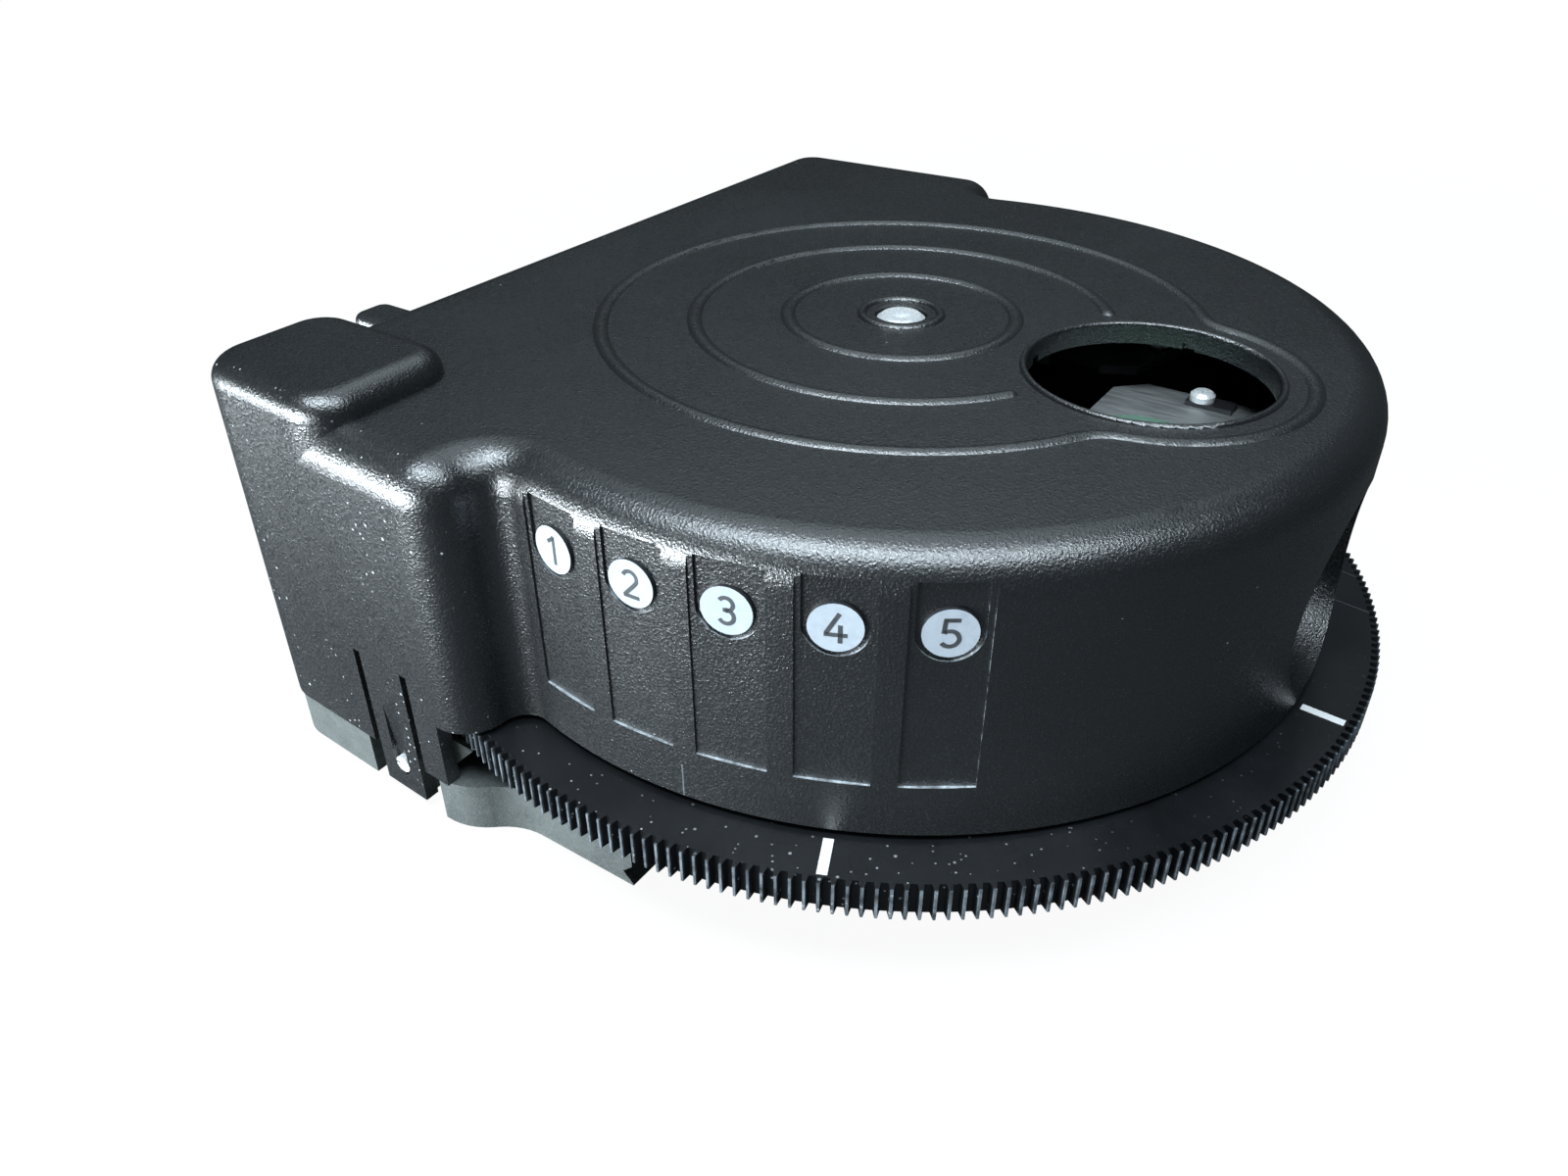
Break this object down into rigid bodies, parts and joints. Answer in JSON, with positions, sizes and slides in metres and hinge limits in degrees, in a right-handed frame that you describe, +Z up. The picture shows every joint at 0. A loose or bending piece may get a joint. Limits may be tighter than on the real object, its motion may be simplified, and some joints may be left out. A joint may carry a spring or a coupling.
{
  "type": "microscope reflector turret",
  "caption": "Covered rotary turret that brings filter modules into a microscope's light path, turned by a finely toothed wheel, with click stops.",
  "frame": {"origin": "on the rotor axis, in the underside of the base plate", "axes": "+Z up along the rotor axis, towards the top light port; -Y towards the front light port; +X to the right when looking from the front port to the rotor axis"},
  "size_m": [0.1692, 0.1692, 0.0683],
  "materials": {
    "base_metal": "cast, bead blasted, grey",
    "cover_black": "fine-grained satin texture",
    "number_white": "off-white with dark numerals",
    "bright_steel": "bright turned",
    "spring_steel": "rolled",
    "bearing_steel": "ground",
    "cage_brass": "pressed",
    "rotor_metal": "dark anodised",
    "disc_black": "black anodised, satin",
    "white_mark": "white, slightly worn",
    "dark_screw": "black oxide",
    "housing_metal": "black anodised",
    "plate_metal": "light grey, matt",
    "glass_splitter": "coated",
    "glass_emission": "coated",
    "glass_excitation": "coated"
  },
  "bodies": {
    "housing": {"base_plate": "base_metal", "cover": "cover_black", "number_discs": "number_white", "axle": "bright_steel", "axle_circlip": "spring_steel", "bearing_inner_races": "bearing_steel", "detent_leaf": "spring_steel", "detent_screws": "bright_steel", "cover_centre_screw": "bright_steel", "cover_side_screws": "bright_steel"},
    "rotor": {"bearing_outer_races": "bearing_steel", "hub": "rotor_metal", "toothed_disc": "disc_black", "index_marks": "white_mark", "hub_screws": "dark_screw", "filter_retaining_rings": "dark_screw", "plate_clips": "dark_screw", "plate_screws": "bright_steel", "module_foot_screws": "dark_screw", "module_1_housing": "housing_metal", "module_1_top_plate": "plate_metal", "module_1_beam_splitter": "glass_splitter", "module_1_emission_filter": "glass_emission", "module_1_excitation_filter": "glass_excitation", "module_2_housing": "housing_metal", "module_2_top_plate": "plate_metal", "module_2_beam_splitter": "glass_splitter", "module_2_emission_filter": "glass_emission", "module_2_excitation_filter": "glass_excitation", "module_3_housing": "housing_metal", "module_3_top_plate": "plate_metal", "module_3_beam_splitter": "glass_splitter", "module_3_emission_filter": "glass_emission", "module_3_excitation_filter": "glass_excitation", "module_4_housing": "housing_metal", "module_4_top_plate": "plate_metal", "module_4_beam_splitter": "glass_splitter", "module_4_emission_filter": "glass_emission", "module_4_excitation_filter": "glass_excitation", "module_5_housing": "housing_metal", "module_5_top_plate": "plate_metal", "module_5_beam_splitter": "glass_splitter", "module_5_emission_filter": "glass_emission", "module_5_excitation_filter": "glass_excitation"},
    "ball_sets": {"bearing_balls": "bearing_steel", "bearing_cages": "cage_brass"}
  },
  "joints": [
    {"name": "turret_turn", "type": "hinge", "parent": "housing", "child": "rotor", "pos_m": [0, 0, 0.031], "axis": [0, 0, 1], "continuous": true, "deforming": ["detent_leaf"]},
    {"name": "ball_sets_turn", "type": "hinge", "parent": "housing", "child": "ball_sets", "pos_m": [0, 0, 0.031], "axis": [0, 0, 1], "continuous": true}
  ],
  "couplings": [
    {"joint": "ball_sets_turn", "follows": "turret_turn", "ratio": 0.5833}
  ]
}
